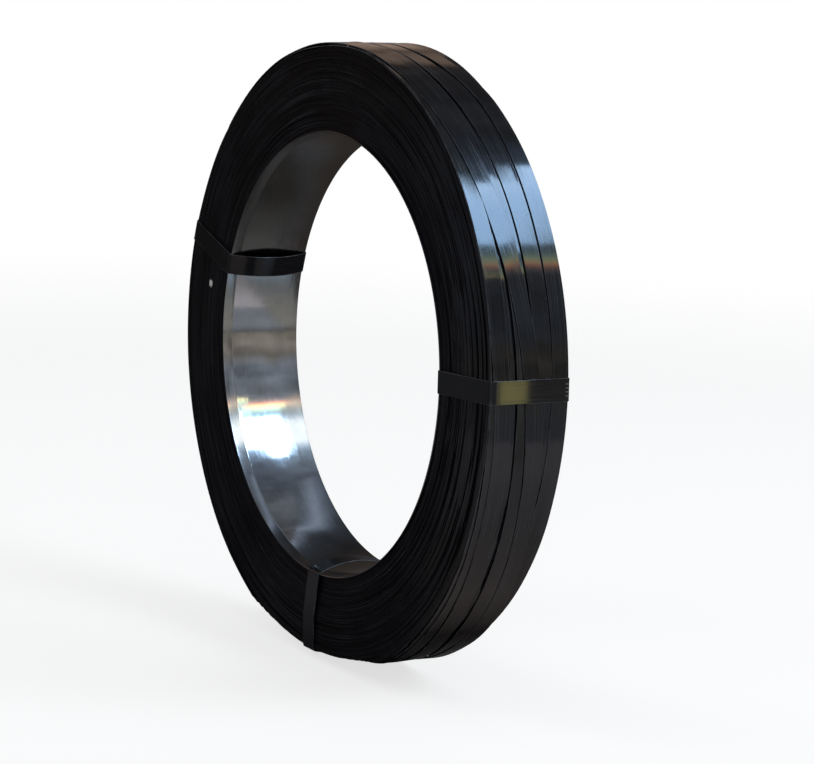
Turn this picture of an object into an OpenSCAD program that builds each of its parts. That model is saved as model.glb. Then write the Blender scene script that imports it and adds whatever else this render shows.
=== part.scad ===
// Coil of steel strapping: black strap wound in laps across a thin steel core
// ring, and held by three crimped tie straps. The coil's axis runs along Y, the
// origin is at the bore's centre, and the coil stands on its rim with +Z up.

/* [Wound strap] */
// Width of the strap that the coil is wound from
strap_w = 16; // [13:0.1:19]
// Thickness of the strap that the coil is wound from
strap_t = 0.8; // [0.5:0.1:1.2]
// Width of the winding, which the strap is led across from end to end
winding_w = 77; // [60:0.5:90]
// Diameter over the outermost turn
coil_d = 570; // [520:1:640]

/* [Turns on the ends] */
// Turns that lie flush before the winding shifts sideways
flush_turns = 4; // [2:1:8]
// Furthest that a group of turns lies back from the end
turn_shift = 0.7; // [0.1:0.1:1.5]
// Depth and width of the groove that rounded strap edges leave between groups
turn_groove = 0.35; // [0.1:0.05:0.6]
// Single outermost turns that step back one by one at each end
stepped_turns = 3; // [1:1:5]
// Distance that each of them steps back
step_back = 1.3; // [0.3:0.1:2]

/* [Laps of the last layer] */
// Width of the gap along a lap's edge
lap_gap = 1.4; // [0.6:0.1:2.5]
// Turns that the last layer is deep
lap_turns = 2; // [1:1:3]

/* [Core ring] */
// Bore of the core ring
bore_d = 406; // [380:1:430]
// Wall of the core ring's sheet
core_wall = 1.2; // [0.6:0.1:2.5]
// Distance that the core ring stands out past the winding at each end
core_stand = 2; // [0.5:0.5:6]
// Radial gap between the core ring and the first turn
core_gap = 0.3; // [0.1:0.1:1]

/* [Tie straps] */
// Width of a tie strap
tie_w = 20; // [12:1:32]
// Thickness of a tie strap
tie_t = 0.8; // [0.5:0.1:1.3]
// Gap between a tie strap and what it lies on
tie_gap = 0.3; // [0.2:0.05:0.8]
// Inside bend over the core ring's edge
tie_core_bend = 0.8; // [0.4:0.1:1]
// Inside bend over the winding's outer corner
tie_rim_bend = 4; // [3:0.5:6]
// Height that a slack tie bows off the bore
tie_bow = 9; // [1:0.5:15]
// Place of the left tie round the coil, in degrees from +X
left_angle = 163.5; // [140:0.5:200]
// Place of the right tie
right_angle = 2.8; // [-30:0.1:30]
// Place of the bottom tie
bottom_angle = 270; // [265:0.5:275]
// Length of the tie's end that laps over its start
lap_l = 52; // [36:1:70]

/* [Seals] */
// Length of a seal along the tie
seal_l = 30; // [20:1:40]
// Thickness of a seal's sheet
seal_t = 0.8; // [0.5:0.1:1]
// Gap between a seal and the tie inside it
seal_gap = 0.15; // [0.05:0.05:0.3]
// Distance from the bore to the seal
seal_setback = 5; // [3:1:20]
// Notches that the crimper cuts along each edge of a seal
notches = 2; // [1:1:3]
// Length of a notch at the edge
notch_l = 6; // [3:0.5:8]
// Depth of a notch into the tie
notch_depth = 3; // [1.5:0.5:5]

/* [Hidden] */
$fn = 96;
bore_r = bore_d / 2;
core_r = bore_r + core_wall;
wind_r = core_r + core_gap;
coil_r = coil_d / 2;
core_w = winding_w + 2 * core_stand;

// Winding: groups of flush turns, then the single turns that step back
step_r = coil_r - stepped_turns * strap_t;
groups = round((step_r - wind_r) / (flush_turns * strap_t));
group_h = (step_r - wind_r) / groups;

// Sideways shift of group i at one end, scattered by a phase
function shift(i, phase) = turn_shift * (1 + sin(i * 137.5 + phase) * cos(i * 61 + phase)) / 2;

function group_points(i, phase) =
    let (r = wind_r + i * group_h, z = winding_w / 2 - shift(i, phase))
    [[r, z - turn_groove], [r + turn_groove, z], [r + group_h - turn_groove, z]];

function step_points(i) =
    let (r = step_r + i * strap_t, z = winding_w / 2 - turn_shift - (i + 1) * step_back)
    [[r, z], [r + strap_t, z]];

function end_points(phase) = concat(
    [for (i = [0 : groups - 1]) each group_points(i, phase)],
    [for (i = [0 : stepped_turns - 1]) each step_points(i)]);

function flipped(points) =
    [for (i = [len(points) - 1 : -1 : 0]) [points[i][0], -points[i][1]]];

// Turns a profile drawn in radius and height about the coil's axis
module turned() rotate([-90, 0, 0]) rotate_extrude($fn = 180) children();

// Tie: a closed loop in radius and axial place, seen along the coil's rim
tie_in = sqrt(bore_r * bore_r - tie_w * tie_w / 4) - tie_gap;
tie_out = coil_r + tie_gap;
tie_core_half = core_w / 2 + tie_gap;
tie_rim_half = winding_w / 2 + tie_gap;
bend_in = [tie_in + tie_core_bend, tie_core_half - tie_core_bend];
bend_out = [tie_out - tie_rim_bend, tie_rim_half - tie_rim_bend];
side_slope = atan((tie_core_half - tie_rim_half) / (bend_out[0] - bend_in[0]));
bow_reach = (tie_bow * tie_bow + bend_in[1] * bend_in[1]) / (2 * tie_bow);
bow_r = tie_core_bend + bow_reach;
bow_half_angle = asin(bend_in[1] / bow_reach);

function arc(centre, r, from, to, steps) = [for (i = [0 : steps])
    let (a = from + (to - from) * i / steps)
    [centre[0] + r * cos(a), centre[1] + r * sin(a)]];

function half_loop(off) = concat(
    arc(bend_out, tie_rim_bend + off, 0, 90, 8),
    arc(bend_in, tie_core_bend + off, 90, 180 - bow_half_angle, 6),
    arc([tie_in - tie_bow + bow_r, 0], bow_r + off, 180 - bow_half_angle, 180, 12));

function loop(off) =
    let (half = half_loop(off))
    concat(half, [for (i = [len(half) - 2 : -1 : 0]) [half[i][0], -half[i][1]]]);

// Puts a shape drawn at +X at its angle round the coil
module round_coil(angle) rotate([0, -angle, 0]) children();

// Puts a shape drawn along +X on the tie's side over the back end
module on_back_side(from_bore)
    translate([bend_in[0], tie_core_half, 0]) rotate(-side_slope)
        translate([from_bore - tie_core_bend, 0, 0]) children();

seal_in = 2 * tie_t + 2 * seal_gap;
seal_h = seal_in + 2 * seal_t;
seal_w = tie_w + 2 * seal_gap + 2 * seal_t;
notch_in = seal_t + seal_gap + notch_depth;

// Cuts of the crimper through the edges of the seal and the tie
module notch_cuts()
    for (i = [0 : notches - 1], far_edge = [0, 1])
        mirror([0, 0, far_edge]) on_back_side(seal_setback)
            translate([seal_l * (i + 0.5) / notches, tie_t, seal_w / 2])
                rotate([90, 0, 0]) linear_extrude(2 * seal_h, center = true)
                    polygon([[-notch_l / 2, seal_t], [-notch_l / 4, -notch_in],
                             [notch_l / 4, -notch_in], [notch_l / 2, seal_t]]);

// Each lap of the last layer runs round the coil in a tilted plane: the place of
// its middle across the coil, how far it runs to each side of that, where it lies
// furthest back, and on which side its edge shows, front (-1) or back (1)
laps = [[6, 32, -95, -1], [-3, 16, 5, -1], [17, 15, -95, 1], [-1.5, 20, -95, -1],
        [-74, 72, -65, -1], [-54, 36, -65, -1], [-44, 18, -65, -1]];
lap_depth = lap_turns * strap_t;

module lap_edge_gap(place, run, back_angle) intersection() {
    turned() translate([coil_r - lap_depth, -winding_w]) square([2 * lap_depth, 2 * winding_w]);
    round_coil(back_angle) translate([0, place, 0]) rotate([90, 0, atan(run / coil_r)])
        cylinder(h = lap_gap, r = coil_d, center = true);
}

module strap_winding() color([0.04, 0.04, 0.05]) difference() {
    turned() polygon(concat(end_points(0), flipped(end_points(75))));
    for (lap = laps) lap_edge_gap(lap[0] + lap[3] * strap_w / 2, lap[1], lap[2]);
}

module core_ring() color([0.72, 0.73, 0.75])
    turned() translate([bore_r, -core_w / 2]) square([core_wall, core_w]);

module tie_strap() difference() {
    linear_extrude(tie_w, center = true) union() {
        difference() {
            polygon(loop(tie_t));
            polygon(loop(0));
        }
        on_back_side(2 * tie_core_bend) translate([0, tie_t / 2]) square([lap_l, tie_t * 1.5]);
    }
    notch_cuts();
}

module seal() color([0.42, 0.2, 0.13]) difference() {
    on_back_side(seal_setback) translate([0, tie_t, 0]) rotate([0, 90, 0])
        linear_extrude(seal_l) difference() {
            square([seal_w, seal_h], center = true);
            square([tie_w + 2 * seal_gap, seal_in], center = true);
        }
    notch_cuts();
}

module tie_strap_left() color([0.09, 0.09, 0.1]) round_coil(left_angle) tie_strap();
module tie_strap_right() color([0.09, 0.09, 0.1]) round_coil(right_angle) tie_strap();
module tie_strap_bottom() color([0.09, 0.09, 0.1]) round_coil(bottom_angle) tie_strap();
module seal_left() round_coil(left_angle) seal();
module seal_right() round_coil(right_angle) seal();
module seal_bottom() round_coil(bottom_angle) seal();

strap_winding();
core_ring();
tie_strap_left();
tie_strap_right();
tie_strap_bottom();
seal_left();
seal_right();
seal_bottom();
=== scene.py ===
import math

import bmesh
import bpy
import numpy as np
from mathutils import Matrix, Vector, noise


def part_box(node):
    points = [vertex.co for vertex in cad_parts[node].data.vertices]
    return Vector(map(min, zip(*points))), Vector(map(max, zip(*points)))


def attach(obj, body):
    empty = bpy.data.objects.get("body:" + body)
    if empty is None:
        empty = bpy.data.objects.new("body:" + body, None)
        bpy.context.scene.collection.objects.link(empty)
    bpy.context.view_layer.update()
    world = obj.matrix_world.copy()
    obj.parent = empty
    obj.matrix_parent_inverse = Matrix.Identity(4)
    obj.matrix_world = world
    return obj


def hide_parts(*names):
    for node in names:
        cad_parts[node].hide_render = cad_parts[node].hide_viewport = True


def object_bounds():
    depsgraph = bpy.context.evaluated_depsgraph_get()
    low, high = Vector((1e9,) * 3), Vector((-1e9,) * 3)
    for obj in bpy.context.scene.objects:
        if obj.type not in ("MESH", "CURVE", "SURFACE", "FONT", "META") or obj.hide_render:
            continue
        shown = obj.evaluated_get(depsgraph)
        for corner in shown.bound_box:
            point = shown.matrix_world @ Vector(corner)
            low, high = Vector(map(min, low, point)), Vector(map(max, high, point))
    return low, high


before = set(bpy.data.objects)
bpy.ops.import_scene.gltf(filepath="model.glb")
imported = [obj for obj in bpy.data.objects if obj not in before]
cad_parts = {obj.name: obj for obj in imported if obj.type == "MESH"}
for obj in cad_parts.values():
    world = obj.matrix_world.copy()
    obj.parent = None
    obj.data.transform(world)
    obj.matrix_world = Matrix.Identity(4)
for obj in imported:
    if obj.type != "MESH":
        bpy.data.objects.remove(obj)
cad_box = [list(corner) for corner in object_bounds()]

# --- Strap winding ---------------------------------------------------------
# One strap of black painted steel, wound under tension on a thin core in
# about a hundred layers. The winder's guide swings from end to end about once
# a turn, so the laps on the rim cross at a slant and bear on those below.

wind_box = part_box("strap_winding")
core_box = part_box("core_ring")
coil_r = wind_box[1].z
half_w = 0.0385
core_r = core_box[1].z
core_gap = 0.0003
wind_r = core_r + core_gap
strap_w = 0.016
strap_t = 0.0008

# Turn by turn: angle travelled from the top of the coil, place across in mm
lap_path = [
    (-420, -10), (-330, 31), (-200, 31), (-95, 12), (-60, -5), (-20, -6), (8, 0.5), (22, 5.5),
    (39, 8.6), (57, 11.4), (78, 13), (97, 13.6), (119, 14.3), (139, 22), (150, 31), (160, 31),
    (265, -26), (400, -26), (450, -31), (465, -31), (473, -30), (503, -25.8), (545, 12), (572, 12),
    (705, -31), (815, -31), (833, -27), (848, -23), (867, -18), (915, 20), (990, 20), (1095, -31),
    (1152, -31), (1163, -29.6), (1173, -25), (1193, -20.8), (1213, -12), (1227, -3), (1235, 4.2),
    (1275, 31), (1335, 31), (1434, -19), (1453, -16), (1487, -12), (1509, -7.6), (1535, -3.3),
    (1549, 0.5), (1567, 6.7), (1587, 16.8), (1597, 25.5), (1612, 31), (1634, 31), (1752, -31),
    (1795, -31), (1813, -27.6), (1829, -24.5), (1845, -18.3), (1865, -9.5), (1883, 0.5), (1893, 5.5),
    (1913, 15.5), (1933, 25.5), (1946, 31), (1970, 31), (2098, -29)]
end_play = 0.0002
steps_a_turn = 360
guide_ease = 21
spring, spring_every = 0.0008, 19.0


def eased(values, window, wrap=False):
    """Running mean of a list of values, over a window of steps."""
    ease = np.hanning(window + 2)[1:-1]
    padded = np.pad(values, window // 2, mode="wrap" if wrap else "edge")
    return np.convolve(padded, ease / ease.sum(), mode="valid")


lap_steps = lap_path[-1][0] - lap_path[0][0]
travelled = np.arange(lap_steps + 1) + lap_path[0][0]
lap_mid = eased(np.interp(travelled, *zip(*lap_path)) / 1000, guide_ease)
swing = half_w - strap_w / 2 - end_play
lap_mid = np.clip(lap_mid, -swing, swing)

# Each lap settles on the pile below it and bears on both sides of its middle,
# springing off it a little here and there. The layers below have filled up
# where few of these laps lie, and their front corner lies lower near the floor.
front_drop = 0.0066
front_drop_at = math.radians(269)
front_drop_reach = math.radians(24)
front_drop_across = 0.036
grid_step = 0.0005
most_tilt = 0.1 * grid_step
bears_from = 3
pile_ease, fill_ease = 13, 31
settlings = 3
grid_y = np.arange(-half_w, half_w + grid_step / 2, grid_step)
half_n = int(round(strap_w / 2 / grid_step))
offsets = np.arange(-half_n, half_n + 1)
left, right = offsets[offsets <= -bears_from][:, None], offsets[offsets >= bears_from][None, :]


def drop(angle):
    """How far the pile's front corner lies below the rest at an angle."""
    off = abs((angle - front_drop_at + math.pi) % (2 * math.pi) - math.pi)
    return front_drop * max(0.0, 1 - (off / front_drop_reach) ** 4)


def cells_under(mids):
    """Cells of the grid across the coil that lie under the laps' middles."""
    cells = np.round((mids + half_w) / grid_step).astype(int)
    return np.clip(cells, half_n, len(grid_y) - 1 - half_n)


def pile_up(pile):
    """Lays the laps turn by turn on a pile, and gives their heights and tilts."""
    low, tilts = np.empty(lap_steps + 1), np.empty(lap_steps + 1)
    for first in range(0, lap_steps + 1, steps_a_turn):
        turn = np.arange(first, min(first + steps_a_turn, lap_steps + 1))
        rows = travelled[turn] % steps_a_turn
        mids = cells_under(lap_mid[turn])
        for index, row, mid in zip(turn, rows, mids):
            under = pile[row, mid + offsets]
            on_left, on_right = under[:len(left)][:, None], under[-right.size:][None, :]
            slope = (on_right - on_left) / (right - left)
            best = np.argmax(on_left - slope * left)
            tilt = min(max(slope.flat[best], -most_tilt), most_tilt)
            tilts[index] = tilt / grid_step
            wave = noise.noise(Vector((travelled[index] / spring_every, 3.7, 0.4)))
            low[index] = (under - tilt * offsets).max() + spring * (0.5 + 0.5 * wave)
        low[turn], tilts[turn] = eased(low[turn], pile_ease), eased(tilts[turn], pile_ease)
        for index, row, mid in zip(turn, rows, mids):
            top = low[index] + strap_t + tilts[index] * offsets * grid_step
            pile[row, mid + offsets] = np.maximum(pile[row, mid + offsets], top)
    return low, tilts


drops = np.array([drop(math.radians(90 - row)) for row in range(steps_a_turn)])
dent = np.clip(drops[:, None] - front_drop * (grid_y + half_w)[None, :] / front_drop_across, 0, None)


def smoothed(field, along, across):
    """Field round the coil and across it, eased both ways."""
    field = np.array([eased(row, across) for row in field])
    return np.array([eased(column, along, wrap=True) for column in field.T]).T


dent = smoothed(dent, 7, 21)
bed = np.zeros((steps_a_turn, len(grid_y)))
for settling in range(settlings):
    pile = bed.copy()
    lap_low, lap_tilt = pile_up(pile)
    if settling < settlings - 1:
        bed += smoothed(pile.max(axis=1)[:, None] - pile, fill_ease, fill_ease)

# The layers have swelled until the coil is round, and the laps ride on them
swell_round, swell_across = 5, 6
rim_play = 0.0001
tall = np.max([np.roll(pile, shift, axis=0) for shift in range(-swell_round, swell_round + 1)], axis=0)
padded = np.pad(tall, ((0, 0), (swell_across, swell_across)), mode="edge")
tall = np.max([padded[:, shift:shift + len(grid_y)] for shift in range(2 * swell_across + 1)], axis=0)
tall = smoothed(tall, 15, 13)
swell = tall.max() - tall - dent
rows = travelled % steps_a_turn
under = swell[rows[:, None], cells_under(lap_mid)[:, None] + offsets[None, :]]
slope = (under[:, -1] - under[:, 0]) / (2 * half_n)
lap_low += (under - slope[:, None] * offsets).max(axis=1)
lap_tilt += slope / grid_step
pile += swell
bed += swell
under_laps_r = coil_r - rim_play - tall.max()
lap_low += under_laps_r

# Body of the winding: the rolled edges of the layers show on its two ends,
# flush in places and sunk back in others
layers = 90
layer_h = strap_t
layer_steps = 180
edge_flat = 0.24
edge_groove = 0.0003
sink, sunk_past = 0.0024, 0.22
even_at = math.radians(140)
calm_depth, calm = 0.002, 0.3


def layer_back(layer, angle, end):
    """How far a layer's edge lies back from the end of the coil."""
    round_x, round_z = math.cos(angle), math.sin(angle)
    own = noise.noise(Vector((layer * 0.83 + 40 * end, 1.6 * round_x, 1.6 * round_z)))
    group = noise.noise(Vector((layer * 0.21 + 90 * end, round_x, round_z)))
    uneven = 1 - 0.6 * max(0.0, math.cos(angle - even_at))
    missing = ((layer + 1) / layers - 1) * (coil_r - wind_r) + drop(angle) if end < 0 else 0.0
    if missing > -calm_depth:
        uneven *= calm
    ripple = 0.00045 * abs(own) + 0.0005 * abs(group)
    back = 0.0002 + uneven * (ripple + 2 * sink * max(0.0, own - sunk_past))
    back += max(0.0, missing) / front_drop * front_drop_across
    return back


def lathe(outline, steps):
    """Closed outline in radius and width, spun once round the coil's axis."""
    bm = bmesh.new()
    corners = [bm.verts.new((r, y, 0)) for r, y in outline]
    sides = [bm.edges.new(pair) for pair in zip(corners, corners[1:] + corners[:1])]
    bmesh.ops.spin(bm, geom=corners + sides, cent=(0, 0, 0), axis=(0, -1, 0),
                   angle=2 * math.pi, steps=steps, use_merge=True)
    bmesh.ops.recalc_face_normals(bm, faces=bm.faces)
    return bm


def finish_piece(bm, name, materials, sharp_at=30):
    """Smooth faces with crisp edges, as one piece riding on the coil."""
    for face in bm.faces:
        face.smooth = True
    limit = math.radians(sharp_at)
    for edge in bm.edges:
        edge.smooth = edge.is_manifold and edge.calc_face_angle(0) < limit
    mesh = bpy.data.meshes.new(name)
    bm.to_mesh(mesh)
    bm.free()
    for material in materials:
        mesh.materials.append(material)
    piece = bpy.data.objects.new(name, mesh)
    bpy.context.scene.collection.objects.link(piece)
    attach(piece, "root")
    return piece


end_outline = []
for layer in range(layers):
    end_outline += [(layer, half_w - edge_groove), (layer + edge_flat, half_w),
                    (layer + 1 - edge_flat, half_w)]
end_outline.append((layers, half_w - edge_groove))
end_outline = [(wind_r + at * layer_h, y) for at, y in end_outline]
rim_r = end_outline[-1][0]
rim_stations = [share / 4 * half_w for share in range(3, -4, -1)]
under_play = 0.00015
turns = lathe(end_outline + [(rim_r, y) for y in rim_stations]
              + [(r, -y) for r, y in reversed(end_outline)], layer_steps)
grain = turns.verts.layers.float_vector.new("grain")
undented = bed + dent
backs = {(end, step): [layer_back(layer, 2 * math.pi * step / layer_steps, end) for layer in range(layers)]
         for end in (-1, 1) for step in range(layer_steps)}
for vert in turns.verts:
    at = (math.hypot(vert.co.x, vert.co.z) - wind_r) / layer_h
    angle = math.atan2(vert.co.z, vert.co.x)
    step = round(angle / (2 * math.pi) * layer_steps) % layer_steps
    end = 1 if vert.co.y > 0 else -1
    row = (90 - round(math.degrees(angle))) % steps_a_turn
    if abs(vert.co.y) < 0.8 * half_w:
        vert.co.y *= 1 - backs[end, step][-1] / half_w
        outside = under_laps_r + bed[row, round((vert.co.y + half_w) / grid_step)] - under_play
    else:
        low = min(max(math.floor(at + 0.1) - (abs(at - round(at)) < 0.1), 0), layers - 1)
        high = min(math.floor(at + 0.1), layers - 1)
        vert.co.y -= end * max(backs[end, step][low], backs[end, step][high])
        outside = under_laps_r + undented[row, -2 if end > 0 else 1]
    radius = wind_r + at / layers * (outside - wind_r)
    vert.co.x, vert.co.z = radius * math.cos(angle), radius * math.sin(angle)
    vert[grain] = (vert.co.y, vert.co.x, vert.co.z)


def new_material(name):
    """Empty material with its shader and output in place."""
    material = bpy.data.materials.new(name)
    material.use_nodes = True
    tree = material.node_tree
    shader = tree.nodes["Principled BSDF"]
    return material, tree, shader


def node(tree, kind, inputs=None, **settings):
    """One shader node with its settings and its input values or links."""
    made = tree.nodes.new(kind)
    for key, value in settings.items():
        setattr(made, key, value)
    for key, value in (inputs or {}).items():
        if isinstance(value, bpy.types.NodeSocket):
            tree.links.new(value, made.inputs[key])
        else:
            made.inputs[key].default_value = value
    return made


def math_node(tree, operation, first, second=0.0, third=0.0):
    """Sum, product or other figure made from up to three values."""
    return node(tree, "ShaderNodeMath", {0: first, 1: second, 2: third},
                operation=operation).outputs[0]


def spread(tree, value, low, high, to_low=0.0, to_high=1.0):
    """Value taken from one range to another, smoothly and within bounds."""
    return node(tree, "ShaderNodeMapRange", {
        "Value": value, "From Min": low, "From Max": high,
        "To Min": to_low, "To Max": to_high},
        interpolation_type="SMOOTHSTEP").outputs["Result"]


def blend_colour(tree, amount, first, second):
    """Mix of two colours, each a plain colour or another node's."""
    mixed = node(tree, "ShaderNodeMix", {"Factor": amount}, data_type="RGBA")
    for socket, value in ((mixed.inputs[6], first), (mixed.inputs[7], second)):
        if isinstance(value, bpy.types.NodeSocket):
            tree.links.new(value, socket)
        else:
            socket.default_value = (*value, 1)
    return mixed.outputs[2]


def new_group(name, inputs, outputs):
    """Shared effect with named inputs and outputs."""
    group = bpy.data.node_groups.new(name, "ShaderNodeTree")
    kinds = {"value": "NodeSocketFloat", "vector": "NodeSocketVector", "colour": "NodeSocketColor"}
    for label, kind, default in inputs:
        socket = group.interface.new_socket(label, in_out="INPUT", socket_type=kinds[kind])
        socket.default_value = default
    for label, kind in outputs:
        group.interface.new_socket(label, in_out="OUTPUT", socket_type=kinds[kind])
    way_in = group.nodes.new("NodeGroupInput")
    way_out = group.nodes.new("NodeGroupOutput")
    return group, way_in.outputs, way_out.inputs


def place_group(tree, group, **inputs):
    """Shared effect put into a material, with its own values or links."""
    placed = node(tree, "ShaderNodeGroup", node_tree=group)
    for key, value in inputs.items():
        socket = placed.inputs[key.replace("_", " ")]
        if isinstance(value, bpy.types.NodeSocket):
            tree.links.new(value, socket)
        else:
            socket.default_value = value
    return placed.outputs


# Directions of the strap: along it round the coil, and across it
round_group, ins, outs = new_group(
    "round_the_coil", [("Along", "value", 4.0), ("Across", "value", 900.0)],
    [("Strap grain", "vector"), ("Layer grain", "vector"), ("Radius", "value"), ("Width", "value")])
tree = round_group
where = node(tree, "ShaderNodeTexCoord").outputs["Object"]
parts = node(tree, "ShaderNodeSeparateXYZ", {0: where}).outputs
flat = node(tree, "ShaderNodeCombineXYZ", {0: parts[0], 1: parts[2]}).outputs[0]
radius = node(tree, "ShaderNodeVectorMath", {0: flat}, operation="LENGTH").outputs["Value"]
heading = node(tree, "ShaderNodeVectorMath", {0: flat}, operation="NORMALIZE").outputs[0]
heading = node(tree, "ShaderNodeSeparateXYZ", {0: heading}).outputs
along_x = math_node(tree, "MULTIPLY", heading[0], ins["Along"])
along_z = math_node(tree, "MULTIPLY", heading[1], ins["Along"])
across = math_node(tree, "MULTIPLY", parts[1], ins["Across"])
layered = math_node(tree, "MULTIPLY", radius, ins["Across"])
strap_grain = node(tree, "ShaderNodeCombineXYZ", {0: across, 1: along_x, 2: along_z}).outputs[0]
layer_grain = node(tree, "ShaderNodeCombineXYZ", {0: layered, 1: along_x, 2: along_z}).outputs[0]
tree.links.new(strap_grain, outs["Strap grain"])
tree.links.new(layer_grain, outs["Layer grain"])
tree.links.new(radius, outs["Radius"])
tree.links.new(parts[1], outs["Width"])

# Wear of painted strap: rubbed streaks along a grain, dust, fine pits
wear_group, ins, outs = new_group(
    "paint_wear",
    [("Grain", "vector", (0, 0, 0)), ("Streaks", "value", 0.5), ("Dust", "value", 0.3),
     ("Paint", "colour", (0.01, 0.01, 0.012, 1)), ("Rubbed", "colour", (0.05, 0.05, 0.055, 1)),
     ("Gloss", "value", 0.12)],
    [("Colour", "colour"), ("Roughness", "value"), ("Height", "value")])
tree = wear_group
where = node(tree, "ShaderNodeTexCoord").outputs["Object"]
streaks = node(tree, "ShaderNodeTexNoise", {"Vector": ins["Grain"], "Scale": 1.0, "Detail": 4.0,
                                            "Roughness": 0.6}).outputs["Fac"]
fine = node(tree, "ShaderNodeTexNoise", {"Vector": ins["Grain"], "Scale": 3.3,
                                         "Detail": 2.0}).outputs["Fac"]
patches = node(tree, "ShaderNodeTexNoise", {"Vector": where, "Scale": 14.0, "Detail": 5.0,
                                            "Roughness": 0.62}).outputs["Fac"]
specks = node(tree, "ShaderNodeTexNoise", {"Vector": where, "Scale": 620.0, "Detail": 2.0}).outputs["Fac"]
rub = math_node(tree, "MULTIPLY", spread(tree, streaks, 0.47, 0.7),
                spread(tree, patches, 0.38, 0.64, 0.4, 1.0))
rub = math_node(tree, "MULTIPLY", rub, ins["Streaks"])
dust = math_node(tree, "MULTIPLY", spread(tree, specks, 0.6, 0.74), spread(tree, patches, 0.5, 0.62))
dust = math_node(tree, "MULTIPLY", dust, ins["Dust"])
colour = blend_colour(tree, rub, ins["Paint"], ins["Rubbed"])
colour = blend_colour(tree, dust, colour, (0.09, 0.085, 0.08))
tree.links.new(colour, outs["Colour"])
rough = math_node(tree, "MULTIPLY_ADD", rub, 0.24, ins["Gloss"])
rough = math_node(tree, "MULTIPLY_ADD", dust, 0.3, rough)
rough = math_node(tree, "MULTIPLY_ADD", spread(tree, patches, 0.35, 0.7), 0.045, rough)
tree.links.new(rough, outs["Roughness"])
height = math_node(tree, "MULTIPLY_ADD", fine, 0.35, streaks)
height = math_node(tree, "MULTIPLY_ADD", patches, 1.5, height)
tree.links.new(height, outs["Height"])

# Paint on the layers' edges: thin and dull, rubbed, with one nick down to bare metal
# on the front end, painted near-white so that it also carries a painted highlight
nick_at = Vector((-0.2368, -0.0385, 0.0325))
turns_paint, tree, shader = new_material("strap_edge_paint")
coil = place_group(tree, round_group, Along=1.8, Across=780.0)
worn = place_group(tree, wear_group, Grain=coil["Layer grain"], Streaks=0.9, Dust=0.35,
                   Paint=(0.003, 0.003, 0.0046, 1), Rubbed=(0.032, 0.034, 0.046, 1), Gloss=0.4)
nick = node(tree, "ShaderNodeMapping", {
    "Vector": node(tree, "ShaderNodeTexCoord").outputs["Object"], "Location": -nick_at}).outputs[0]
nick = node(tree, "ShaderNodeVectorMath", {0: nick}, operation="LENGTH").outputs["Value"]
ragged = node(tree, "ShaderNodeTexNoise", {"Scale": 480.0, "Detail": 3.0}).outputs["Fac"]
nick = math_node(tree, "MULTIPLY_ADD", ragged, 0.006, nick)
# The nick: real bare metal, painted near-white as a painted highlight of its glint
bare_nick_glint = spread(tree, nick, 0.0072, 0.0052)
colour = blend_colour(tree, bare_nick_glint, worn["Colour"], (0.86, 0.86, 0.86))
rough = math_node(tree, "MULTIPLY_ADD", bare_nick_glint, 0.1, worn["Roughness"])
tree.links.new(colour, shader.inputs["Base Color"])
tree.links.new(rough, shader.inputs["Roughness"])
tree.links.new(math_node(tree, "MULTIPLY", bare_nick_glint, 0.3), shader.inputs["Metallic"])
shader.inputs["Specular IOR Level"].default_value = 0.18
bump = node(tree, "ShaderNodeBump", {"Height": worn["Height"], "Strength": 0.5, "Distance": 0.0002})
tree.links.new(bump.outputs[0], shader.inputs["Normal"])

# The last laps, one strap from end to end. It is spun with a long lead, so that
# each step can then be set down where the strap lies there.
edge_round = 0.00013
rub_band = 0.0005
lap_stride = 2
lead = 0.02


def strap_section(width, thickness):
    """Corners of a strap's section: across, through, and how rubbed it is."""
    half, flat_to = width / 2, width / 2 - edge_round
    clean_to = flat_to - rub_band
    return [(-flat_to, 0, 1), (-clean_to, 0, 0), (clean_to, 0, 0), (flat_to, 0, 1),
            (half, edge_round, 1), (half, thickness - edge_round, 1),
            (flat_to, thickness, 1), (clean_to, thickness, 0), (-clean_to, thickness, 0),
            (-flat_to, thickness, 1), (-half, thickness - edge_round, 1), (-half, edge_round, 1)]


def section_loop(bm, section, place):
    """Section drawn as a closed loop of edges, with its rubbed edges marked."""
    rub = bm.verts.layers.float["rubbed"]
    loop = []
    for across, through, rubbed in section:
        vert = bm.verts.new(place(across, through))
        vert[rub] = rubbed
        loop.append(vert)
    return loop + [bm.edges.new(pair) for pair in zip(loop, loop[1:] + loop[:1])]


def cap(bm, geometry):
    """Face across a closed loop of edges."""
    ends = [item for item in geometry if isinstance(item, bmesh.types.BMEdge)]
    bmesh.ops.contextual_create(bm, geom=ends)


laps = bmesh.new()
laps.verts.layers.float.new("rubbed")
grain = laps.verts.layers.float_vector.new("grain")
loop = section_loop(laps, strap_section(strap_w, strap_t),
                    lambda across, through: (coil_r + through, across, 0))
cap(laps, loop)
spun = bmesh.ops.spin(laps, geom=loop, cent=(0, 0, 0), axis=(0, 1, 0), dvec=(0, lead, 0),
                      angle=math.radians(lap_steps), steps=lap_steps // lap_stride)
cap(laps, spun["geom_last"])
for vert in laps.verts:
    step = min(max(round(vert.co.y / lead), 0), lap_steps // lap_stride)
    across = vert.co.y - step * lead
    step *= lap_stride
    through = math.hypot(vert.co.x, vert.co.z) - coil_r
    angle = math.radians(90 - travelled[step])
    radius = lap_low[step] + through + lap_tilt[step] * across
    vert[grain] = (across, math.radians(travelled[step]) * coil_r, 0)
    vert.co = (radius * math.cos(angle), lap_mid[step] + across, radius * math.sin(angle))
bmesh.ops.recalc_face_normals(laps, faces=laps.faces)


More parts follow.
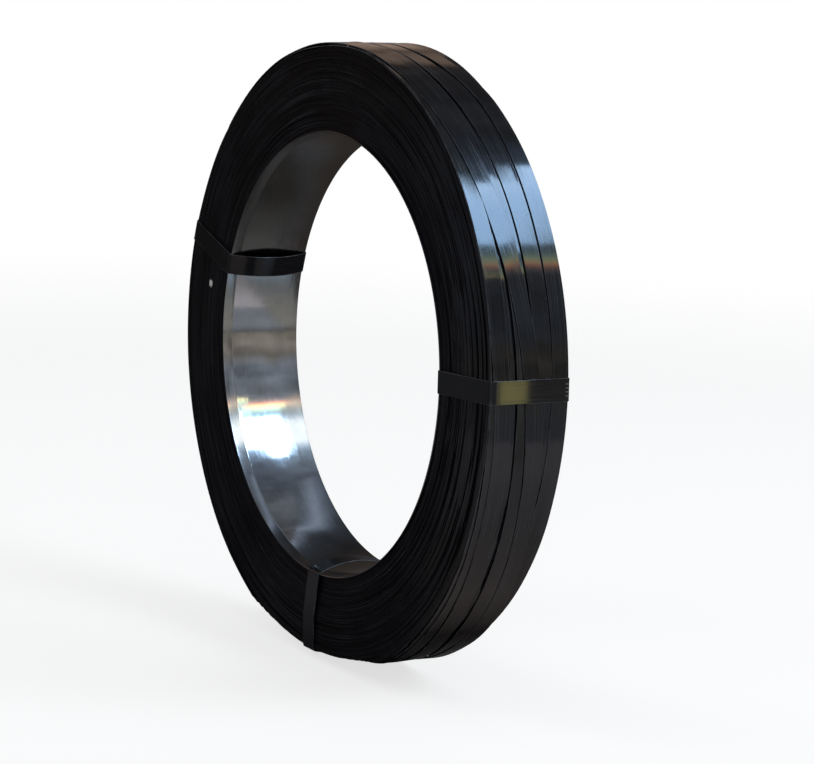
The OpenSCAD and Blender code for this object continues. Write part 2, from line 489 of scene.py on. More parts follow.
def strap_face(name, paint, rubbed_paint, gloss, streaks, lines, edge_colour):
    """Black paint with faint roller lines along a strap, and edges rubbed thin."""
    made, tree, shader = new_material(name)
    along = node(tree, "ShaderNodeAttribute", attribute_name="grain").outputs["Vector"]
    along = node(tree, "ShaderNodeMapping", {"Vector": along, "Scale": lines}).outputs[0]
    worn = place_group(tree, wear_group, Grain=along, Streaks=streaks, Dust=0.22,
                       Paint=paint, Rubbed=rubbed_paint, Gloss=gloss)
    rubbed = node(tree, "ShaderNodeAttribute", attribute_name="rubbed").outputs["Fac"]
    where = node(tree, "ShaderNodeTexCoord").outputs["Object"]
    patchy = node(tree, "ShaderNodeTexNoise", {"Vector": where, "Scale": 60.0,
                                               "Detail": 4.0}).outputs["Fac"]
    edge = math_node(tree, "MULTIPLY", spread(tree, rubbed, 0.5, 1.0),
                     spread(tree, patchy, 0.36, 0.6, 0.3, 1.0))
    colour = blend_colour(tree, edge, worn["Colour"], edge_colour)
    rough = math_node(tree, "MULTIPLY_ADD", edge, 0.16, worn["Roughness"])
    tree.links.new(colour, shader.inputs["Base Color"])
    tree.links.new(rough, shader.inputs["Roughness"])
    bump = node(tree, "ShaderNodeBump", {"Height": worn["Height"], "Strength": 0.4, "Distance": 0.00006})
    tree.links.new(bump.outputs[0], shader.inputs["Normal"])
    return made


laps_paint = strap_face("strap_face_paint", paint=(0.0036, 0.0036, 0.0046, 1),
                        rubbed_paint=(0.036, 0.038, 0.045, 1), gloss=0.055, streaks=0.8,
                        lines=(1000.0, 3.0, 3.0), edge_colour=(0.07, 0.074, 0.086))
finish_piece(laps, "last_laps", [laps_paint])

for face in turns.faces:
    face.normal_update()
    middle = face.calc_center_median()
    outward = face.normal.x * middle.x + face.normal.z * middle.z
    face.material_index = int(outward > 0.7 * coil_r)
wound_turns = finish_piece(turns, "wound_turns", [turns_paint, laps_paint])
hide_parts("strap_winding")

# --- Core ring -------------------------------------------------------------
# Thin bare steel sheet rolled to a ring, on which the strap was wound. It
# stands out a little at both ends and is mottled and faintly creased.

core_half = core_box[1].y
core_wall = 0.0012
bore_r = core_r - core_wall
hem = 0.00025
crease_at, crease_w, crease_h = -0.030, 0.0007, 0.00012
lip_edge = (core_half - 0.0004, core_half - 0.0001)
core_outline = [
    (bore_r, crease_at - crease_w), (bore_r + crease_h, crease_at), (bore_r, crease_at + crease_w),
    (bore_r, core_half - hem), (bore_r + hem, core_half), (core_r - hem, core_half),
    (core_r, core_half - hem), (core_r, -core_half + hem), (core_r - hem, -core_half),
    (bore_r + hem, -core_half), (bore_r, -core_half + hem)]
ring = lathe(core_outline, 360)

bare_steel, tree, shader = new_material("bare_rolled_steel")
coil = place_group(tree, round_group, Along=3.0, Across=260.0)
where = node(tree, "ShaderNodeTexCoord").outputs["Object"]
clouds = node(tree, "ShaderNodeTexNoise", {"Vector": where, "Scale": 16.0, "Detail": 6.0,
                                           "Roughness": 0.65, "Distortion": 0.6}).outputs["Fac"]
mottle = node(tree, "ShaderNodeTexNoise", {"Vector": where, "Scale": 95.0, "Detail": 5.0,
                                           "Roughness": 0.7}).outputs["Fac"]
rolled = node(tree, "ShaderNodeTexNoise", {"Vector": coil["Strap grain"], "Scale": 1.0, "Detail": 5.0,
                                           "Roughness": 0.6}).outputs["Fac"]
tone = math_node(tree, "MULTIPLY_ADD", spread(tree, mottle, 0.3, 0.7), 0.2,
                 math_node(tree, "MULTIPLY", spread(tree, clouds, 0.35, 0.65), 0.8))
colour = blend_colour(tree, tone, (0.39, 0.384, 0.375), (0.49, 0.49, 0.485))
lip = math_node(tree, "ABSOLUTE", coil["Width"])
colour = blend_colour(tree, spread(tree, lip, *lip_edge), colour, (0.15, 0.145, 0.15))
tree.links.new(colour, shader.inputs["Base Color"])
shader.inputs["Metallic"].default_value = 1.0
rough = math_node(tree, "MULTIPLY_ADD", spread(tree, rolled, 0.35, 0.65), 0.04, 0.055)
rough = math_node(tree, "MULTIPLY_ADD", spread(tree, mottle, 0.4, 0.7), 0.04, rough)
before_crease = spread(tree, coil["Width"], crease_at + 0.001, crease_at, 0.0, 0.03)
rough = math_node(tree, "ADD", rough, before_crease)
up = node(tree, "ShaderNodeSeparateXYZ", {0: where}).outputs[2]
rough = math_node(tree, "ADD", rough, spread(tree, up, 0.0, 0.11, 0.0, 0.09))
tree.links.new(rough, shader.inputs["Roughness"])
height = math_node(tree, "MULTIPLY_ADD", mottle, 0.15, rolled)
height = math_node(tree, "MULTIPLY_ADD", clouds, 0.35, height)
bump = node(tree, "ShaderNodeBump", {"Height": height, "Strength": 0.12, "Distance": 0.0002})
tree.links.new(bump.outputs[0], shader.inputs["Normal"])
core = finish_piece(ring, "rolled_core", [bare_steel])
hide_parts("core_ring")

# --- Ties ------------------------------------------------------------------
# Three lengths of wider strap pulled tight round the coil's section, bend by
# bend, satin black. Each is slack enough to bow off the bore, and its end laps
# over its start on the back end, where the seal grips both.

tie_w = 0.020
tie_t = 0.0008
tie_gap, rim_gap = 0.0003, 0.00006
tie_in = math.sqrt(bore_r ** 2 - (tie_w / 2) ** 2) - tie_gap
tie_out = coil_r + tie_gap
core_bend_r, rim_bend_r = 0.0008, 0.004
core_bend = Vector((tie_in + core_bend_r, core_half + tie_gap - core_bend_r))
rim_bend = Vector((tie_out - rim_bend_r, half_w + tie_gap - rim_bend_r))
bend_gap = rim_bend - core_bend
side_lean = (-math.atan2(bend_gap.y, bend_gap.x)
             - math.asin((rim_bend_r - core_bend_r) / bend_gap.length))
side_foot = core_bend + core_bend_r * Vector((math.sin(side_lean), math.cos(side_lean)))
side_out = Vector((math.cos(side_lean), -math.sin(side_lean)))
bow_rise = 0.009
bow_reach = (bow_rise ** 2 + core_bend.y ** 2) / (2 * bow_rise)
bow_half = math.asin(core_bend.y / bow_reach)
core_turn = math.pi / 2 + side_lean - bow_half
under_from, over_to = 0.054, 0.0035
bear_every, loose_bend_r, corner_tangent = 8, 0.012, 0.0013
lean_along = (0.203, 0.245, 0.272, 0.286), (0, 1, 1, 0.7)
bites, bite_every, bite_back, bite_size = 4, 0.0034, 0.0022, (0.00012, 0.0026, 0.0009)
step_from, step_turn, step_run = 0.0602, math.radians(12), 0.0032
step_bend_r, step_l = 0.003, 0.0046
right_tie_at = 2.8
seal_from, seal_l = 0.005, 0.030
notch_l, notch_depth = 0.0062, 0.003
notch_places = [seal_from + seal_l * share for share in (0.25, 0.75)]


def draw_out(bm, geometry, at, heading, moves):
    """Carries a section along straight runs and bends, in one plane."""
    at = Vector((*at, 0))
    for kind, size, turn, steps in moves:
        ahead = Vector((math.cos(heading), math.sin(heading), 0))
        if kind == "run":
            spun = bmesh.ops.spin(bm, geom=geometry, cent=at, axis=(0, 0, 1), angle=0,
                                  dvec=ahead * size / steps, steps=steps)
            at += ahead * size
        else:
            hand = math.copysign(1, turn)
            centre = at + hand * size * Vector((-ahead.y, ahead.x, 0))
            spun = bmesh.ops.spin(bm, geom=geometry, cent=centre, axis=(0, 0, 1), angle=turn, steps=steps)
            at = centre + Matrix.Rotation(turn, 3, "Z") @ (at - centre)
            heading += turn
        geometry = spun["geom_last"]
    return geometry


def notch(along, depth_share):
    """Share of a notch's full depth at a place along the tie."""
    nearest = min(abs(along - place) for place in notch_places)
    return depth_share * max(0.0, min(1.0, 1.6 * (1 - nearest / (notch_l / 2))))


def tight_outline(degrees):
    """Places across the rim on which a tie bears, from the front end to the back."""
    rows = [(round(90 - degrees) + off) % steps_a_turn for off in (-2, -1, 0, 1, 2)]
    heights = (under_laps_r + pile[rows]).max(axis=0) + rim_gap
    corners = []
    for first in range(0, len(grid_y), bear_every):
        place = grid_y[min(first, len(grid_y) - 1)]
        point = Vector((heights[max(first - 2, 0):first + 3].max(), place))
        while len(corners) > 1 and (corners[-1] - corners[-2]).cross(point - corners[-1]) <= 0:
            corners.pop()
        corners.append(point)
    corners[0].y, corners[-1].y = -half_w, half_w + tie_gap
    return corners


def pulled_round(corners, spare):
    """Runs and bends of a strap pulled tight over a row of corners."""
    moves = []
    legs = [end - start for start, end in zip(corners, corners[1:])]
    for leg, next_leg in zip(legs, legs[1:]):
        turn = -leg.angle_signed(next_leg)
        radius = min(loose_bend_r, corner_tangent / math.tan(turn / 2))
        tangent = radius * math.tan(turn / 2)
        moves += [("run", leg.length - spare - tangent, 0, max(2, int(leg.length / 0.005))),
                  ("bend", radius, turn, 6 if turn > 0.5 else 2)]
        spare = tangent
    return moves, legs[-1].length - spare


def tie(rim, lean):
    """One tie at +X, pulled round the bore, the front end and the given rim corners."""
    foot_front = Vector((side_foot.x, -side_foot.y))
    foot_back = side_foot + side_out * step_from
    front_lean = math.atan2(rim[0].y - foot_front.y, rim[0].x - foot_front.x)
    round_rim, left_over = pulled_round([foot_front, *rim, foot_back], 0.0)
    moves = [("run", under_from, 0, 54), ("bend", core_bend_r, core_turn, 6),
             ("bend", bow_reach + core_bend_r, 2 * bow_half, 28),
             ("bend", core_bend_r, core_turn + front_lean - side_lean, 6), *round_rim,
             ("run", left_over, 0, 6), ("bend", step_bend_r + tie_t, -step_turn, 3),
             ("run", step_run, 0, 2), ("bend", step_bend_r, step_turn, 3),
             ("run", step_from - step_l - over_to, 0, 52)]
    bm = bmesh.new()
    rub = bm.verts.layers.float.new("rubbed")
    grain = bm.verts.layers.float_vector.new("grain")
    start = side_foot + side_out * under_from
    heading = math.pi - side_lean
    out = Vector((math.sin(heading), -math.cos(heading)))
    loop = section_loop(bm, strap_section(tie_w, tie_t),
                        lambda across, through: (*(start + out * through), across))
    cap(bm, loop)
    cap(bm, draw_out(bm, loop, start, heading, moves))
    bends = [Vector((core_bend.x, -core_bend.y)), rim[0], rim[-1]]
    for vert in bm.verts:
        vert[grain] = (vert.co.z, vert.co.x + vert.co.y, 0)
        nearest = min((vert.co.xy - bend).length for bend in bends)
        vert[rub] = max(vert[rub], 0.85 * max(0.0, 1 - nearest / 0.004))
        aside = np.interp(vert.co.x, *lean_along) * np.interp(vert.co.y, (-half_w, half_w), (1, 0))
        vert.co.z -= lean * aside
        along = (Vector((vert.co.x, vert.co.y)) - side_foot).dot(side_out)
        if vert.co.y > core_half * 0.9 and abs(vert.co.z) > 0.006:
            share = (abs(vert.co.z) - 0.006) / 0.004
            vert.co.z -= math.copysign(notch(along, notch_depth * 1.08) * share, vert.co.z)
    bmesh.ops.recalc_face_normals(bm, faces=bm.faces)
    return bm


def bite_marks(bm, rim):
    """Bare nicks by the back corner, where the tensioner's wheel bit the tie."""
    across = rim[-1] - rim[-2]
    middle = rim[-1] - across.normalized() * bite_back
    for number in range(bites):
        made = bmesh.ops.create_cube(bm, size=1.0)
        place = Vector((middle.x + tie_t, middle.y, (number - (bites - 1) / 2) * bite_every))
        bmesh.ops.scale(bm, verts=made["verts"], vec=bite_size)
        bmesh.ops.translate(bm, verts=made["verts"], vec=place)
        for face in {face for vert in made["verts"] for face in vert.link_faces}:
            face.material_index = 1


tie_paint = strap_face("tie_paint", paint=(0.0052, 0.0054, 0.007, 1),
                       rubbed_paint=(0.022, 0.023, 0.028, 1), gloss=0.09, streaks=0.5,
                       lines=(600.0, 12.0, 1.0), edge_colour=(0.085, 0.09, 0.1))

# Seals: thin sheet bent round the tie with its seam on the outside. The
# crimper's notches press its edges in, and its mouths flare a little.
seal_t, seal_gap = 0.0006, 0.00008
seal_round = 0.0006
seam_half = 0.0004
pressed_from, press_lift = 0.0062, 0.0005
flare_l, flare_out = 0.0015, 0.00025
cavity_half = tie_w / 2 + seal_gap
cavity_low, cavity_high = -seal_gap, 2 * tie_t + seal_gap + 0.00002


def seal():
    """One crimped sleeve, drawn round the tie's section and then along it."""
    wall = cavity_high - cavity_low - 2 * seal_round
    corner = ("bend", seal_round, -math.pi / 2, 4)
    face = cavity_half - seal_round
    moves = [("run", face - seam_half, 0, 8), corner, ("run", wall, 0, 2), corner,
             ("run", 2 * face, 0, 16), corner, ("run", wall, 0, 2), corner,
             ("run", face - seam_half, 0, 8)]
    bm = bmesh.new()
    rub = bm.verts.layers.float.new("rubbed")
    start = bm.verts.new((seam_half, cavity_high, 0))
    draw_out(bm, [start], (seam_half, cavity_high), 0.0, moves)
    outline = list(bm.verts) + list(bm.edges)
    bmesh.ops.spin(bm, geom=outline, cent=(0, 0, 0), axis=(0, 0, 1), angle=0,
                   dvec=(0, 0, 0.001), steps=30)
    bmesh.ops.recalc_face_normals(bm, faces=bm.faces)
    for vert in bm.verts:
        across, through, along = vert.co
        press = notch(along + seal_from, 1.0)
        if abs(across) > pressed_from:
            share = (abs(across) - pressed_from) / (cavity_half - pressed_from)
            across -= math.copysign(press * notch_depth * share, across)
            through += press * press_lift * share
        flare = max(0.0, abs(along - seal_l / 2) - seal_l / 2 + flare_l) / flare_l
        across += math.copysign(flare_out * flare, across)
        vert[rub] = max(flare, 0.7 * press * (abs(across) > 0.005))
        vert.co = (across, through, along)
    return bm


def seal_frame():
    """Turns a seal's across, through and along into the tie's frame at +X."""
    out = Vector((math.sin(side_lean), math.cos(side_lean)))
    along = Vector((side_out.x, side_out.y, 0))
    foot = side_foot + side_out * seal_from
    turn = Matrix(((0, 0, 1), (*out, 0), along)).transposed().to_4x4()
    return Matrix.Translation((foot.x, foot.y, 0)) @ turn


seal_metal, tree, shader = new_material("copper_brown_lacquer")
where = node(tree, "ShaderNodeTexCoord").outputs["Object"]
clouds = node(tree, "ShaderNodeTexNoise", {"Vector": where, "Scale": 120.0, "Detail": 5.0,
                                           "Roughness": 0.65}).outputs["Fac"]
grit = node(tree, "ShaderNodeTexNoise", {"Vector": where, "Scale": 900.0, "Detail": 2.0}).outputs["Fac"]
colour = blend_colour(tree, spread(tree, clouds, 0.35, 0.68), (0.10, 0.036, 0.022), (0.21, 0.078, 0.048))
rubbed = node(tree, "ShaderNodeAttribute", attribute_name="rubbed").outputs["Fac"]
edge = math_node(tree, "MULTIPLY", spread(tree, rubbed, 0.3, 1.0),
                 spread(tree, grit, 0.4, 0.6, 0.35, 1.0))
colour = blend_colour(tree, math_node(tree, "MULTIPLY", edge, 0.7), colour, (0.42, 0.2, 0.13))
tree.links.new(colour, shader.inputs["Base Color"])
shader.inputs["Metallic"].default_value = 0.35
rough = math_node(tree, "MULTIPLY_ADD", spread(tree, clouds, 0.3, 0.7), 0.2, 0.3)
tree.links.new(rough, shader.inputs["Roughness"])
bump = node(tree, "ShaderNodeBump", {"Height": math_node(tree, "MULTIPLY_ADD", clouds, 2.0, grit),
                                     "Strength": 0.5, "Distance": 0.0001})
tree.links.new(bump.outputs[0], shader.inputs["Normal"])

rims = {}
for place, degrees, lean in (("left", 163.5, 0.0), ("right", right_tie_at, 0.0), ("bottom", 270.0, 0.0085)):
    turn = Matrix.Rotation(-math.radians(degrees), 4, "Y")
    rims[place] = tight_outline(degrees)
    tied = tie(rims[place], lean)
    bite_marks(tied, rims[place])
    bmesh.ops.transform(tied, matrix=turn, verts=tied.verts)
    pulled = finish_piece(tied, "pulled_tie_" + place, [tie_paint, bare_steel])
    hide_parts("tie_strap_" + place)
    sleeve = seal()
    bmesh.ops.transform(sleeve, matrix=turn @ seal_frame(), verts=sleeve.verts)
    bmesh.ops.recalc_face_normals(sleeve, faces=sleeve.faces)
    crimped = finish_piece(sleeve, "crimped_seal_" + place, [seal_metal], 60)
    sheet = crimped.modifiers.new("sheet", "SOLIDIFY")
    sheet.thickness, sheet.offset = seal_t, 1.0
    rounding = crimped.modifiers.new("rounding", "BEVEL")
    rounding.width, rounding.segments, rounding.limit_method = 0.00012, 2, "ANGLE"
    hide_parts("seal_" + place)

# --- Floor, light and camera -----------------------------------------------
# A plain pale floor in a white room, under two soft lamps. Black gloss and bare
# steel see a dimmer, tinted floor and room, with painted reflections and painted shade,
# and glowing cards that nothing else sees: a window, a dark sheet of painted shade
# behind the coil and an amber patch.

camera_data = bpy.data.cameras.new("camera")
camera_data.sensor_width = 36.0
camera_data.lens = 136.26
camera = bpy.data.objects.new("camera", camera_data)
azimuth, elevation, roll = math.radians(59.167), math.radians(9.619), math.radians(2.848)
back = Vector((math.sin(azimuth) * math.cos(elevation), -math.cos(azimuth) * math.cos(elevation),
               math.sin(elevation)))
level_right = Vector((math.cos(azimuth), math.sin(azimuth), 0))
level_up = back.cross(level_right)
right = level_right * math.cos(roll) + level_up * math.sin(roll)
up = level_up * math.cos(roll) - level_right * math.sin(roll)
aim, stand_off = Vector((0.0249, 0.0339, -0.0238)), 2.8345
eye = aim + back * stand_off
camera.matrix_world = Matrix.Translation(eye) @ Matrix((right, up, back)).transposed().to_4x4()
bpy.context.scene.collection.objects.link(camera)
bpy.context.scene.camera = camera
bpy.context.scene.view_settings.view_transform = "Standard"


def stage_piece(bm, name, material):
    """Piece of the studio, which is no part of the coil."""
    mesh = bpy.data.meshes.new(name)
    bm.to_mesh(mesh)
    bm.free()
    mesh.materials.append(material)
    piece = bpy.data.objects.new(name, mesh)
    bpy.context.scene.collection.objects.link(piece)
    return piece


def colour_ramp(tree, value, stops):
    """Colours that follow a value, from named places on it."""
    ramp = node(tree, "ShaderNodeValToRGB", {"Fac": value})
    steps = ramp.color_ramp.elements
    while len(steps) < len(stops):
        steps.new(0.5)
    for step, (place, colour) in zip(steps, stops):
        step.position = place
        step.color = (*colour, 1)
    return ramp.outputs["Color"]


floor_paint = bpy.data.materials.new("pale_floor")
floor_paint.use_nodes = True
tree = floor_paint.node_tree
tree.nodes.clear()
path = node(tree, "ShaderNodeLightPath").outputs
mirrored = math_node(tree, "MAXIMUM", path["Is Glossy Ray"], path["Is Transmission Ray"])
where = node(tree, "ShaderNodeTexCoord").outputs["Object"]
away = node(tree, "ShaderNodeVectorMath", {0: where}, operation="LENGTH").outputs["Value"]
far = spread(tree, away, 1.6, 3.0)
spot = node(tree, "ShaderNodeSeparateXYZ", {0: where}).outputs
across_floor = math_node(tree, "MULTIPLY_ADD", spot[0], 0.5, 0.5)
# Floor colours that only gloss sees are painted reflections: darker bands of painted shade near the coil,
# paler bands, and a pale blue patch that paints a highlight in the left tie's bow
near_strip = colour_ramp(tree, across_floor, [
    (0.0, (0.16, 0.16, 0.18)), (0.4, (0.27, 0.245, 0.26)), (0.53, (0.1, 0.09, 0.09)),
    (0.57, (0.06, 0.05, 0.043)), (0.61, (0.55, 0.46, 0.42)), (0.7, (0.62, 0.57, 0.58)),
    (0.8, (0.84, 0.78, 0.82)), (0.915, (0.84, 0.78, 0.82)), (0.918, (0.44, 0.46, 0.52)),
    (1.0, (0.42, 0.44, 0.5))])
behind = colour_ramp(tree, across_floor, [
    (0.45, (0.06, 0.055, 0.05)), (0.6, (0.25, 0.24, 0.23)), (0.62, (0.62, 0.77, 0.9)),
    (0.65, (0.62, 0.77, 0.9)), (0.665, (0.4, 0.46, 0.52)), (0.7, (0.36, 0.38, 0.4)),
    (0.8, (0.42, 0.41, 0.39)), (1.0, (0.42, 0.4, 0.36))])
strip_side = math_node(tree, "MULTIPLY_ADD", spot[0], -0.52, spot[1])
dim_floor = blend_colour(tree, spread(tree, strip_side, 0.0, 0.05), near_strip, behind)
dim = node(tree, "ShaderNodeBsdfDiffuse", {"Color": dim_floor}).outputs[0]
pale = node(tree, "ShaderNodeBsdfDiffuse", {"Color": (0.55, 0.54, 0.53, 1)}).outputs[0]
shaded = node(tree, "ShaderNodeBsdfDiffuse", {"Color": (0.42, 0.42, 0.42, 1)}).outputs[0]
glow = node(tree, "ShaderNodeEmission", {"Color": (1, 1, 1, 1), "Strength": 0.7}).outputs[0]
near_view = node(tree, "ShaderNodeAddShader", {0: shaded, 1: glow}).outputs[0]
white = node(tree, "ShaderNodeEmission", {"Color": (1, 1, 1, 1), "Strength": 1.0}).outputs[0]
view = node(tree, "ShaderNodeMixShader", {0: far, 1: near_view, 2: white}).outputs[0]
unseen = node(tree, "ShaderNodeMixShader", {0: mirrored, 1: pale, 2: dim}).outputs[0]
surface = node(tree, "ShaderNodeMixShader", {0: path["Is Camera Ray"], 1: unseen, 2: view}).outputs[0]
node(tree, "ShaderNodeOutputMaterial", {"Surface": surface})
floor = bmesh.new()
bmesh.ops.create_circle(floor, cap_ends=True, segments=96, radius=5.0)
bmesh.ops.translate(floor, verts=floor.verts, vec=(0, 0, cad_box[0][2]))
stage_piece(floor, "floor", floor_paint)

# The room, white where it is looked at. Gloss sees it dimmer, in tones by angle
# round the coil's axis from the horizon on the right.
world = bpy.data.worlds.new("studio")
bpy.context.scene.world = world
world.use_nodes = True
tree = world.node_tree
tree.nodes.clear()
path = node(tree, "ShaderNodeLightPath").outputs
mirrored = math_node(tree, "MAXIMUM", path["Is Glossy Ray"], path["Is Transmission Ray"])
facing = node(tree, "ShaderNodeTexCoord").outputs["Generated"]
toward = node(tree, "ShaderNodeSeparateXYZ", {0: facing}).outputs
round_room = math_node(tree, "ARCTAN2", toward[2], toward[0])
round_room = math_node(tree, "MULTIPLY_ADD", round_room, 1 / (2 * math.pi), 0.5)
drawn = node(tree, "ShaderNodeMapping", {"Vector": facing, "Scale": (5.0, 45.0, 5.0)}).outputs[0]
ragged = node(tree, "ShaderNodeTexNoise", {"Vector": drawn, "Scale": 1.0, "Detail": 3.0}).outputs["Fac"]
cloudy = node(tree, "ShaderNodeTexNoise", {"Vector": facing, "Scale": 9.0, "Detail": 4.0}).outputs["Fac"]
round_room = math_node(tree, "MULTIPLY_ADD", ragged, 0.05, math_node(tree, "SUBTRACT", round_room, 0.025))
room_tones = [(-180, (0.10, 0.08, 0.07)), (-60, (0.3, 0.28, 0.25)), (8, (0.31, 0.285, 0.25)),
              (14, (0.24, 0.28, 0.34)), (36, (0.27, 0.31, 0.37)), (75, (0.16, 0.20, 0.27)),
              (95, (0.15, 0.17, 0.20)), (118, (0.09, 0.09, 0.10)), (137, (0.07, 0.065, 0.065)),
              (141, (0.36, 0.26, 0.20)), (172, (0.30, 0.215, 0.17)), (180, (0.10, 0.08, 0.07))]
room = colour_ramp(tree, round_room, [(0.5 + degrees / 360, tone) for degrees, tone in room_tones])
uneven = math_node(tree, "MULTIPLY", spread(tree, cloudy, 0.3, 0.7, 0.6, 1.4),
                   spread(tree, ragged, 0.3, 0.7, 0.75, 1.25))
room = node(tree, "ShaderNodeVectorMath", {0: room, 1: uneven}, operation="MULTIPLY").outputs[0]
dim = node(tree, "ShaderNodeBackground", {"Color": room, "Strength": 1.0}).outputs[0]
fill = node(tree, "ShaderNodeBackground", {"Color": (0.95, 0.97, 1.0, 1), "Strength": 0.42}).outputs[0]
white = node(tree, "ShaderNodeBackground", {"Color": (1, 1, 1, 1), "Strength": 1.0}).outputs[0]
unseen = node(tree, "ShaderNodeMixShader", {0: mirrored, 1: fill, 2: dim}).outputs[0]
surface = node(tree, "ShaderNodeMixShader", {0: path["Is Camera Ray"], 1: unseen, 2: white}).outputs[0]
node(tree, "ShaderNodeOutputWorld", {"Surface": surface})


def soft_lamp(name, place, size, radiance, colour):
    """Soft square lamp that faces the coil and shows in no gloss."""
    data = bpy.data.lights.new(name, "AREA")
    data.size = size
    data.energy = radiance * size ** 2 * math.pi
    data.color = colour
    lamp = bpy.data.objects.new(name, data)
    facing = Vector(place).to_track_quat("Z", "Y").to_matrix().to_4x4()
    lamp.matrix_world = Matrix.Translation(place) @ facing
    bpy.context.scene.collection.objects.link(lamp)
    lamp.visible_camera = False
    lamp.visible_glossy = False


soft_lamp("window_light", (2.0, 1.6, 1.9), 1.5, 5.0, (0.9, 0.96, 1.0))
soft_lamp("front_light", (-1.4, -2.4, 2.2), 1.3, 2.2, (1.0, 0.98, 0.95))


def reflected_card(bm, name, value_of, stops):
    """Glowing card that only gloss and bare metal see."""
    paint = bpy.data.materials.new(name)
    paint.use_nodes = True
    tree = paint.node_tree
    tree.nodes.clear()
    place = node(tree, "ShaderNodeTexCoord").outputs["Object"]
    where = node(tree, "ShaderNodeSeparateXYZ", {0: place}).outputs
    cloudy = node(tree, "ShaderNodeTexNoise", {"Vector": place, "Scale": 16.0,
                                               "Detail": 3.0}).outputs["Fac"]
    peak = max(max(tone) for _, tone in stops)
    stops = [(share, [part / peak for part in tone]) for share, tone in stops]
    colour = colour_ramp(tree, value_of(tree, where, cloudy), stops)
    glow = node(tree, "ShaderNodeEmission", {"Color": colour, "Strength": peak}).outputs[0]
    node(tree, "ShaderNodeOutputMaterial", {"Surface": glow})
    card = stage_piece(bm, name, paint)
    card.visible_camera = False
    card.visible_diffuse = False
    card.visible_shadow = False


# The window: a sill band of low sunlight colours under a wide pale blue sheet,
# with haze beyond it. The steel of the bore sees the part of it further back.
sill_x, sill_low, sill_high = 0.925, 0.59, 0.862
sheet_end, sheet_high = 0.16, 0.837
window_run = sill_high - sill_low + sill_x - sheet_end


def window_sheet(front_side):
    """Sill and sheet drawn out backwards, kept on one side of a slanted cut."""
    bm = bmesh.new()
    profile = [bm.verts.new((x, 0.22, z)) for x, z in ((sill_x, sill_low), (sill_x, sill_high),
                                                        (sheet_end, sheet_high))]
    profile += [bm.edges.new(pair) for pair in zip(profile, profile[1:])]
    bmesh.ops.spin(bm, geom=profile, cent=(0, 0, 0), axis=(0, 0, 1), dvec=(0, 1.0, 0), angle=0, steps=1)
    bmesh.ops.bisect_plane(bm, geom=[*bm.verts, *bm.edges, *bm.faces], plane_co=(0.3, 0.5, 0),
                           plane_no=(-0.27, 1, 0), clear_outer=front_side, clear_inner=not front_side)
    return bm


def climb(tree, where, cloudy):
    """Distance up the sill and then in along the sheet, as a share of both."""
    rise = math_node(tree, "SUBTRACT", where[2], sill_low)
    reach = math_node(tree, "SUBTRACT", sill_x, where[0])
    gone = math_node(tree, "ADD", rise, reach)
    gone = math_node(tree, "ADD", gone, spread(tree, where[1], 0.437, 0.433, 0.0, 0.12))
    share = math_node(tree, "DIVIDE", gone, window_run)
    beyond = spread(tree, share, 0.84, 0.87, 0.0, 0.16)
    return math_node(tree, "MULTIPLY_ADD", math_node(tree, "SUBTRACT", cloudy, 0.5), beyond, share)


reflected_card(window_sheet(True), "window_card", climb, [
    (0.0, (0.2, 0.25, 0.3)), (0.035, (0.45, 0.5, 0.6)), (0.058, (0.8, 0.7, 0.75)),
    (0.079, (2.0, 0.95, 0.8)), (0.094, (4.6, 1.8, 1.2)), (0.112, (4.2, 2.9, 1.6)),
    (0.135, (3.3, 3.5, 1.9)), (0.16, (2.0, 2.9, 2.0)), (0.188, (1.4, 2.05, 1.95)),
    (0.215, (0.85, 1.35, 1.7)), (0.288, (0.85, 1.35, 1.7)), (0.293, (5.7, 9.2, 14.0)),
    (0.62, (5.9, 9.4, 14.3)), (0.80, (7.3, 10.8, 15.6)), (0.828, (6.8, 10.4, 14.8)),
    (0.833, (1.1, 1.7, 2.6)), (0.87, (0.5, 0.72, 1.05)), (1.0, (0.17, 0.21, 0.28))])
reflected_card(window_sheet(False), "bore_window_card", climb, [
    (0.0, (0.42, 0.42, 0.4)), (0.0125, (0.5, 0.48, 0.44)), (0.053, (0.7, 0.56, 0.49)),
    (0.1, (1.6, 1.22, 0.98)), (0.13, (1.35, 1.2, 1.0)), (0.165, (0.9, 0.92, 0.84)),
    (0.23, (0.7, 0.8, 0.84)), (0.3, (0.85, 1.03, 1.2)), (0.37, (1.4, 1.55, 1.65)),
    (0.43, (1.9, 2.05, 2.1)), (0.685, (2.0, 2.1, 2.1)), (0.715, (1.2, 1.45, 1.6)),
    (0.76, (0.62, 0.82, 1.05)), (0.81, (0.38, 0.5, 0.66)), (0.86, (0.28, 0.36, 0.46)),
    (0.98, (0.22, 0.27, 0.34))])

# A dim sheet behind the bore, painted shade for its steel to mirror, which keeps the steel from glaring
shade_sheet_y, shade_sheet_low, shade_sheet_step, shade_sheet_high = 0.21, -0.295, -0.03, 0.3
shade_sheet = bmesh.new()
for left_x, right_x, low_z, high_z in ((-0.82, 0.1, shade_sheet_low, shade_sheet_step),
                                       (-0.82, -0.07, shade_sheet_step, shade_sheet_high)):
    made = bmesh.ops.create_grid(shade_sheet, x_segments=1, y_segments=1, size=0.5)
    middle = ((left_x + right_x) / 2, shade_sheet_y, (low_z + high_z) / 2)
    stretch = Matrix.Diagonal((right_x - left_x, 1, high_z - low_z, 1))
    upright = Matrix.Rotation(math.pi / 2, 4, "X")
    bmesh.ops.transform(shade_sheet, verts=made["verts"], matrix=Matrix.Translation(middle) @ stretch @ upright)


def up_shade_sheet(tree, where, cloudy):
    """Height on the sheet as a share of its own, uneven and lower at the far left."""
    rise = math_node(tree, "SUBTRACT", where[2], shade_sheet_low + 0.02)
    rise = math_node(tree, "MULTIPLY_ADD", cloudy, 0.04, rise)
    rise = math_node(tree, "SUBTRACT", rise, spread(tree, where[0], -0.235, -0.3, 0.0, 0.09))
    return math_node(tree, "DIVIDE", rise, shade_sheet_high - shade_sheet_low)
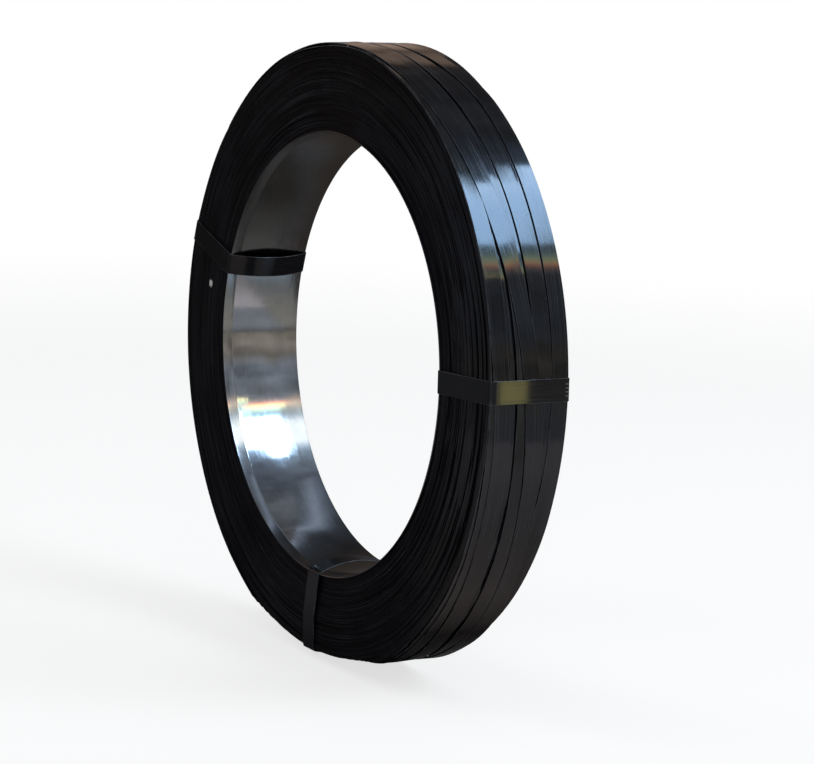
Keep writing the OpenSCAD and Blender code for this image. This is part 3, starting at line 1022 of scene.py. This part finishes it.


# Tones on the sheet: painted shade low down, and a paler blue band of painted reflection near its top
reflected_card(shade_sheet, "shade_sheet_card", up_shade_sheet, [
    (0.0, (0.06, 0.062, 0.068)), (0.126, (0.065, 0.062, 0.062)), (0.19, (0.05, 0.042, 0.037)),
    (0.33, (0.042, 0.036, 0.031)), (0.445, (0.026, 0.026, 0.03)), (0.546, (0.035, 0.037, 0.043)),
    (0.634, (0.04, 0.048, 0.06)), (0.72, (0.06, 0.07, 0.09)), (0.79, (0.2, 0.25, 0.33)),
    (0.85, (0.36, 0.43, 0.56)), (0.885, (0.27, 0.33, 0.43)), (0.933, (0.17, 0.21, 0.27)),
    (1.0, (0.13, 0.155, 0.19))])

# A small amber card close to the coil, set where the camera sees it mirrored in
# the flat of the right tie
flat = next(pair for pair in zip(rims["right"], rims["right"][1:]) if pair[1].y > -0.01)
flat_way = (flat[1] - flat[0]).normalized()
turn = Matrix.Rotation(-math.radians(right_tie_at), 3, "Y")
face_out = turn @ Vector((flat_way.y, -flat_way.x, 0))
amber_far, amber_half = 0.1, 0.0116
amber_from, amber_to = -0.044, -0.003
amber = bmesh.new()
corners = []
for across, width in ((amber_from, -amber_half), (amber_to, -amber_half),
                      (amber_to, amber_half), (amber_from, amber_half)):
    radius = flat[0].x + (across - flat[0].y) * flat_way.x / flat_way.y + tie_t
    spot = turn @ Vector((radius, across, width))
    glance = (spot - eye).normalized()
    corners.append(amber.verts.new(spot + amber_far * (glance - 2 * glance.dot(face_out) * face_out)))
bmesh.ops.contextual_create(amber, geom=corners)
amber_ends = corners[0].co.y, corners[1].co.y
reflected_card(amber, "amber_card", lambda tree, where, cloudy: node(tree, "ShaderNodeMapRange", {
    "Value": where[1], "From Min": amber_ends[0], "From Max": amber_ends[1]}).outputs["Result"], [
    (0.0, (1.2, 1.1, 0.8)), (0.12, (1.3, 1.1, 0.75)), (0.15, (0.8, 0.7, 0.45)), (0.27, (0.8, 0.7, 0.42)),
    (0.30, (2.2, 2.0, 0.85)), (0.5, (2.6, 2.4, 1.0)), (0.94, (2.3, 2.1, 0.9)), (1.0, (1.4, 1.3, 0.7))])
